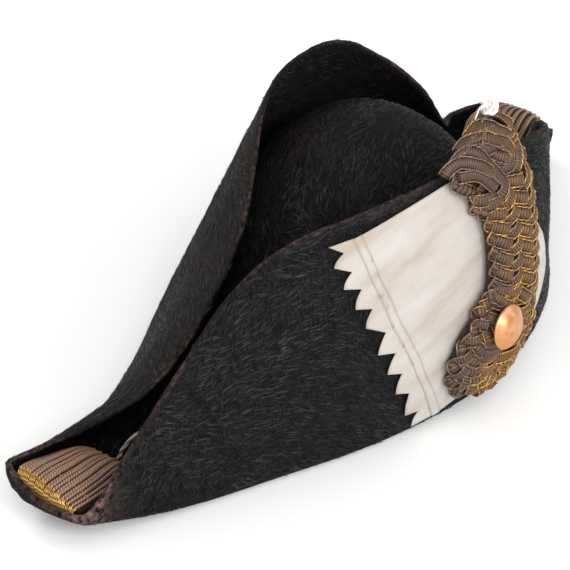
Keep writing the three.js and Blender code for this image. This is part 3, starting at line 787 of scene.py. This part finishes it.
def add_arc(cords, wires, surface, arc, wide, thick, lift):
    """A strand that is bent round at the loop's fold, through points in millimetres."""
    line = softened(along_line(arc, RING_STEP), 4)
    hits, ways = [], []
    for point in line:
        hit, way, _, _ = surface.find_nearest(Vector(point) * MM)
        hits.append(hit)
        ways.append(way)
    hits, ways = softened(np.array(hits), 6), softened(np.array(ways), 8)
    ways /= np.linalg.norm(ways, axis=1)[:, None]
    points = hits + ways * (lift * MM)
    # Both ends dip into the plait.
    points[:3] -= ways[:3] * np.array([[1.2], [0.8], [0.4]]) * MM
    points[-3:] -= ways[-3:] * np.array([[0.4], [0.8], [1.2]]) * MM
    lay_strand(cords, wires, points, ways, wide, thick)


def add_plait(cords, wires, surface, line, strands, pitch, wide, thick, sink):
    """A flat plait: each strand runs from edge to edge, over and under the others in turn."""
    steps = np.linalg.norm(np.diff(line[:, :2], axis=0), axis=1)
    reached = np.concatenate([[0.0], np.cumsum(steps)])
    fine = np.arange(0.0, reached[-1], 0.1)
    x, z, half = (np.interp(fine, reached, line[:, k]) for k in range(3))
    flow = np.stack([np.gradient(x), np.gradient(z)], axis=1)
    flow /= np.linalg.norm(flow, axis=1)[:, None]
    for strand in range(strands):
        phase = fine / (pitch * strands) + strand / strands
        swing = np.arcsin(0.96 * np.sin(2 * np.pi * (phase - 0.25))) / math.asin(0.96)
        turn = np.sin(2 * np.pi * phase)
        over = np.cos(2 * np.pi * strands * phase) * turn / np.sqrt(turn ** 2 + 0.03)
        reach = swing * np.maximum(half - wide * 0.37, 0.5)
        flat = np.stack([x + flow[:, 1] * reach, z - flow[:, 0] * reach, over * thick * 0.5], axis=1)
        flat = along_line(flat, RING_STEP)
        hits, ways = [], []
        for px, pz, lift in flat:
            hit, way, _, _ = surface.ray_cast(Vector((px * MM, -0.3, pz * MM)), Vector((0, 1, 0)))
            if hit is None or way.y > -0.2:
                hit, way, _, _ = surface.find_nearest(Vector((px * MM, -0.092, pz * MM)))
                way = Vector((0.0, -1.0, 0.0))
            hits.append(hit)
            ways.append(way)
        hits, ways = softened(np.array(hits), 5), softened(np.array(ways), 7)
        ways /= np.linalg.norm(ways, axis=1)[:, None]
        lay_strand(cords, wires, hits + ways * ((flat[:, 2:3] - sink) * MM), ways, wide, thick)


def loop_pieces(wool):
    """The plaited loop: its strands, their thin wires, and the dark wool core beneath."""
    surface = tree_of("agraffe")
    cords, wires = bmesh.new(), bmesh.new()
    add_plait(cords, wires, surface, strip_line(0.37, 0.97, 160), 5, 8.2, 6.4, 4.0, 1.6)
    add_plait(cords, wires, surface, strip_line(0.12, 0.42, 90), 3, 8.2, 6.6, 3.8, 1.9)
    bulb = ring_line((-31.0, 39.0), (21.6, 20.2), 126, 414, 9.6, 140)
    add_plait(cords, wires, surface, bulb, 3, 7.6, 6.2, 3.9, 1.5)
    for lift, arc in FOLD_ARCS:
        add_arc(cords, wires, surface, arc, 5.9, 3.2, lift)
    weld(cords)
    weld(wires)
    brown = bullion_material("tarnished_bullion", "#120a06", "#614837", "#8f622a", 0.5, 0.3)
    bright = bullion_material("gilt_wire", "#3a2818", "#89766a", "#e8b055", 0.34)
    finish_piece(cords, "plait_strands", brown, ["agraffe"])
    finish_piece(wires, "plait_wires", bright)

    core = merged_copy("agraffe")
    core.normal_update()
    for vert in core.verts:
        vert.co -= vert.normal * 3.0 * MM
    finish_piece(core, "plait_core", wool)


def button_piece():
    """A spun domed button on the seat of the CAD solid."""
    bm = merged_copy("button")

    def level_area(face):
        return sum(g.calc_area() for g in bm.faces if g.normal.dot(face.normal) > 0.9999)

    flat = max(bm.faces, key=level_area)
    axis = -flat.normal.copy()
    base = flat.calc_center_median()
    centre = sum((v.co for v in bm.verts), Vector()) / len(bm.verts)
    seat = centre + axis * (base - centre).dot(axis)
    bm.free()
    profile = [
        (0.0, 0.0), (5.6, 0.0), (6.0, 1.2), (10.1, 1.5), (10.8, 1.9), (11.0, 2.4), (10.75, 2.9),
        (10.2, 3.35), (9.6, 3.7), (8.6, 4.7), (7.2, 5.7), (5.4, 6.55), (3.4, 7.2), (1.7, 7.45), (0.0, 7.5),
    ]
    bm = bmesh.new()
    verts = [bm.verts.new((r * MM, 0.0, h * MM)) for r, h in profile]
    edges = [bm.edges.new(pair) for pair in zip(verts, verts[1:])]
    bmesh.ops.spin(
        bm, geom=verts + edges, cent=(0, 0, 0), axis=(0, 0, 1), angle=2 * math.pi, steps=72, use_merge=True
    )
    bmesh.ops.remove_doubles(bm, verts=bm.verts, dist=1e-6)
    bmesh.ops.recalc_face_normals(bm, faces=bm.faces)
    # The shank is bent, so the button leans a little.
    axis.rotate(Matrix.Rotation(math.radians(6), 3, "Z"))
    axis.rotate(Matrix.Rotation(math.radians(-10), 3, "X"))
    lean = axis.to_track_quat("Z", "Y").to_matrix().to_4x4()
    bm.transform(Matrix.Translation(seat + axis * 0.7 * MM) @ lean)
    return finish_piece(bm, "gilt_button", button_material(), ["button"])


def fray_piece(silk):
    """Short loose threads at the points of the pinked edge."""
    chance = random.Random(3)
    surface = BVHTree.FromPolygons(
        [v.co for v in silk.data.vertices], [p.vertices for p in silk.data.polygons]
    )
    points, blades = [], []
    for index, (x, z) in enumerate(LEFT_TEETH):
        for _ in range(9 if index % 2 == 0 else 3):
            near = Vector((x * MM, -0.09, z * MM)) + Vector([chance.gauss(0, 0.6) * MM for _ in range(3)])
            root = surface.find_nearest(near)[0]
            lie = Vector((-0.9 + chance.gauss(0, 0.5), -0.25, chance.gauss(-0.1, 0.6))).normalized()
            side = lie.cross(Vector((0.0, 1.0, 0.0))).normalized() * 0.09 * MM
            start = len(points)
            points.extend([root - side, root + side, root + lie * chance.uniform(0.8, 2.6) * MM])
            blades.append((start, start + 1, start + 2))
    threads = bpy.data.meshes.new("silk_fray")
    threads.from_pydata(points, [], blades)
    return finish_mesh(threads, "silk_fray", silk.data.materials[0], smooth=False)


def cord_loop_piece(material):
    """The tassel's hanging loop: a stiff two-ply cord along the arch of the CAD solid."""
    low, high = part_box("tassel_loop")
    spots = np.array([v.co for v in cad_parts["tassel_loop"].data.vertices])
    base = np.array([(low[1] + high[1]) / 2, low[2] + 0.3 * (high[2] - low[2])])
    angles = np.arctan2(spots[:, 2] - base[1], spots[:, 1] - base[0])
    angles = np.where(angles < -np.pi / 2, angles + 2 * np.pi, angles)
    cuts = np.linspace(angles.min(), angles.max() + 1e-6, 15)
    rows = []
    for first, last in zip(cuts, cuts[1:]):
        held = spots[(angles >= first) & (angles < last)]
        if len(held):
            rows.append(held.mean(axis=0))
    line = softened(along_line(np.array(rows) / MM, 0.3), 6) * MM
    ways = np.tile([1.0, 0.0, 0.0], (len(line), 1))
    bm = bmesh.new()
    add_cord(bm, line, ways, 1.9 * MM, 1.9 * MM, 8, twisted(2, 7), plain)
    weld(bm)
    return finish_piece(bm, "loop_cord", material, ["tassel_loop"])


def knot_piece():
    """A ball knot of cotton cord, with the bight of thread that hangs from it."""
    low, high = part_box("loop_knot")
    centre = (low + high) / 2
    bm = bmesh.new()
    turns = np.linspace(0, 2 * np.pi, 260)
    waist = 2.5 + 1.15 * np.cos(5 * turns)
    points = np.stack([waist * np.cos(3 * turns), waist * np.sin(3 * turns), 2.3 * np.sin(5 * turns)], axis=1)
    ways = points / np.linalg.norm(points, axis=1)[:, None]
    add_cord(bm, points * MM + np.array(centre), ways, 1.9 * MM, 1.9 * MM, 8, twisted(3, 7), plain)
    bight = [
        (2.0, 1.0, -1.5), (-3.2, 2.6, 0.5), (-5.5, 3.0, -3.0), (-6.8, 3.4, -7.5), (-7.3, 4.4, -10.5),
        (-6.4, 5.8, -13.0),
    ]
    line = softened(along_line(bight, 0.35), 5)
    ways = np.tile([0.0, -1.0, 0.2], (len(line), 1))
    add_cord(bm, line * MM + np.array(centre), ways, 0.75 * MM, 0.75 * MM, 6, twisted(2, 5), plain)
    weld(bm)
    return finish_piece(bm, "cotton_knot", cotton_material(), ["loop_knot"])


# Tassels

def tassel_sections(name):
    """x of each section of a CAD tassel, with its near and far end, from the tip inwards."""
    found = {}
    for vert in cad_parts[name].data.vertices:
        found.setdefault(round(vert.co.x, 5), []).append(vert.co.y)
    rows = sorted((x, min(ys), max(ys)) for x, ys in found.items())
    return np.array(rows if rows[0][0] < -0.1 else rows[::-1])


def tassel_pieces(name, end, ribs, reach, hang, fringe, cord_finish, twist_finish, wool):
    """Twisted cords side by side over a core, ending in gilt twists that hang over the outer end.

    end is -1 for the left tip and 1 for the right; reach, hang and fringe are in millimetres.
    """
    step = 0.33
    surface, felt = tree_of(name), tree_of("felt_body")
    sections = tassel_sections(name)
    cords, ends, threads = bmesh.new(), bmesh.new(), bmesh.new()
    xs = np.interp(np.linspace(0.0, 1.0, 46), np.linspace(0, 1, len(sections)), sections[:, 0])
    inner = sections[-1, 0]
    pitch = (sections[0, 2] - sections[0, 1]) / ribs
    chance = random.Random(5)
    tie = []

    def bright(point):
        return 0.9

    def faint(point):
        return 0.1

    def frayed(point):
        return chance.random() * 0.3

    def kept(point):
        return 0.05 + 0.75 * max(0.0, 1.0 - abs(point.x - inner) / (9 * MM))

    for rib in range(ribs):
        u = (rib + 0.5) / ribs
        hits, ways = [], []
        for x in xs:
            near = np.interp(x * end, sections[:, 0][::-1] * end, sections[:, 1][::-1])
            far = np.interp(x * end, sections[:, 0][::-1] * end, sections[:, 2][::-1])
            y = near + (far - near) * (0.015 + 0.97 * u)
            over = Vector((x - end * 2e-5 * (x == xs[0]), y, 0.3))
            hit, way, _, _ = surface.ray_cast(over, DOWN)
            if hit is not None:
                hits.append(hit)
                ways.append(way)
        hits, ways = softened(np.array(hits), 3), softened(np.array(ways), 4)
        tip = hits[0] + np.array([end * reach, 0.0, -0.4]) * MM
        # The twists and their fringe stop above the felt.
        below = felt.ray_cast(Vector(tip + np.array([end * 0.9, 0.0, 0.0]) * MM), DOWN)[0]
        room = (tip[2] - (below.z if below else 0.0)) / MM - 1.0
        fall = max(min(hang, room), 1.5)
        drop = [tip + np.array([end * 0.6, 0.0, -k]) * MM for k in np.linspace(fall, 0.8, 8)]
        bend = tip - np.array([end * 0.5, 0.0, 0.0]) * MM
        points = np.concatenate([drop, [bend], hits])
        ways = np.concatenate([[[end, 0.0, 0.0]] * 8, [[end * 0.5, 0.0, 0.8]], ways])
        ways /= np.linalg.norm(ways, axis=1)[:, None]
        both = along_line(np.concatenate([points / MM, ways], axis=1), step)
        points, ways = softened(both[:, :3], 3) * MM, both[:, 3:]
        ways /= np.linalg.norm(ways, axis=1)[:, None]
        cut = int((fall + 2.0) / step)
        rise = chance.uniform(-0.1, 0.15) * MM
        along = ways[cut - 3:]
        rib_points = points[cut - 3:] + along * rise
        add_cord(cords, rib_points, along, pitch * 0.98, pitch * 1.25, 8, twisted(2, 5), kept)
        tie.append(points[cut + 24] + ways[cut + 24] * 0.62 * MM)
        for hand in (-0.25, 0.25):
            sway = np.sin(np.arange(cut) * step * 2 * np.pi / 4.1) * 0.16 + hand
            gilt_points = points[:cut] + ways[:cut] * 0.45 * MM
            gilt_points[:, 1] += sway * pitch
            add_cord(ends, gilt_points, ways[:cut], pitch * 0.45, pitch * 0.85, 7, twisted(2, 6), bright)
        for _ in range(4):
            start = points[0] + np.array([0.2 * end * MM, chance.uniform(-0.5, 0.5) * pitch, 1.2 * MM])
            length = min(chance.uniform(0.8, 1.0) * fringe, max(room - fall, 0.4))
            steps = np.linspace(0, length, max(int(length / 0.5), 4))
            loose = start + np.stack([
                end * 0.1 * steps, chance.uniform(-0.12, 0.12) * steps, -steps
            ], axis=1) * MM
            out = np.tile([end, 0.0, 0.0], (len(steps), 1))
            add_cord(threads, loose, out, 0.45 * MM, 0.45 * MM, 5, twisted(2, 4), frayed)
    tie = softened(along_line(np.array(tie) / MM, 0.3), 3) * MM
    ways = np.tile([0.0, 0.0, 1.0], (len(tie), 1))
    add_cord(cords, tie, ways, 0.5 * MM, 0.4 * MM, 6, twisted(2, 4), faint)
    for bm in (cords, ends, threads):
        weld(bm)
    finish_piece(cords, name + "_cords", cord_finish, [name])
    finish_piece(ends, name + "_twists", twist_finish)
    finish_piece(threads, name + "_fringe", cord_finish)
    core = merged_copy(name)
    core.normal_update()
    for vert in core.verts:
        vert.co -= vert.normal * 0.45 * MM
    finish_piece(core, name + "_core", wool)


# Studio

place_camera()
floor_mesh = bmesh.new()
bmesh.ops.create_grid(floor_mesh, x_segments=1, y_segments=1, size=6.0)
data = bpy.data.meshes.new("floor")
floor_mesh.to_mesh(data)
floor_mesh.free()
data.materials.append(floor_material())
floor = bpy.data.objects.new("floor", data)
bpy.context.scene.collection.objects.link(floor)
soft_light("key", (-1.3, -1.1, 1.6), (0, 0, 0.05), 1.3, 14)
soft_light("front", (-1.25, -0.85, 0.6), (0, 0, 0.07), 0.9, 6)
soft_light("fill", (0.9, -1.5, 0.9), (0, 0, 0.05), 1.2, 4)
soft_light("over_flap", (-0.6, -1.6, 0.9), (0.03, 0.04, 0.12), 0.8, 15)
soft_light("back", (0.2, 1.4, 1.5), (0, 0, 0.1), 1.0, 9)
world = bpy.data.worlds.new("studio")
world.use_nodes = True
world.node_tree.nodes["Background"].inputs[0].default_value = linear("#f6f6f6")
world.node_tree.nodes["Background"].inputs[1].default_value = 0.8
bpy.context.scene.world = world
bpy.context.scene.view_settings.view_transform = "Standard"

# The hat

felt_hat, rim_points = felt_piece()
silk = cockade_piece()
fray_piece(silk)
shell = bmesh.new()
shell.from_mesh(felt_hat.data)
felt_skin = BVHTree.FromBMesh(shell)
shell.free()
trim = bmesh.new()
for part in ("cockade", "agraffe", "tassel_left", "tassel_right"):
    trim.from_mesh(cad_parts[part].data)
trim.from_mesh(silk.data)
trim_tree = BVHTree.FromBMesh(trim)
trim.free()
fur = nap_material()
nap_piece("nap_front", felt_hat, 25000, 1, lambda n: n.y < -0.15, fur, trim_tree, felt_skin)
nap_piece("nap_rear", felt_hat, 19000, 2, lambda n: n.y > 0.15, fur, trim_tree, felt_skin)
nap_piece("nap_level", felt_hat, 15000, 3, lambda n: abs(n.y) <= 0.15, fur, trim_tree, felt_skin)
edge_fur_piece(rim_points, fur, felt_skin)
wool_core = wool_material()
loop_pieces(wool_core)
button_piece()
knot_piece()
fringe_cord = bullion_material("worn_bullion_cord", "#59453a", "#b38c76", "#c79a5c", 0.55, 0.35)
twist_gilt = bullion_material("gilt_twist", "#2e1c0d", "#d39b52", "#f2c06c", 0.36)
tassel_pieces("tassel_left", -1, 19, 2.2, 7.5, 4.2, fringe_cord, twist_gilt, wool_core)
tassel_pieces("tassel_right", 1, 22, 3.5, 4.0, 3.0, fringe_cord, twist_gilt, wool_core)
cord_loop_piece(cord_material())
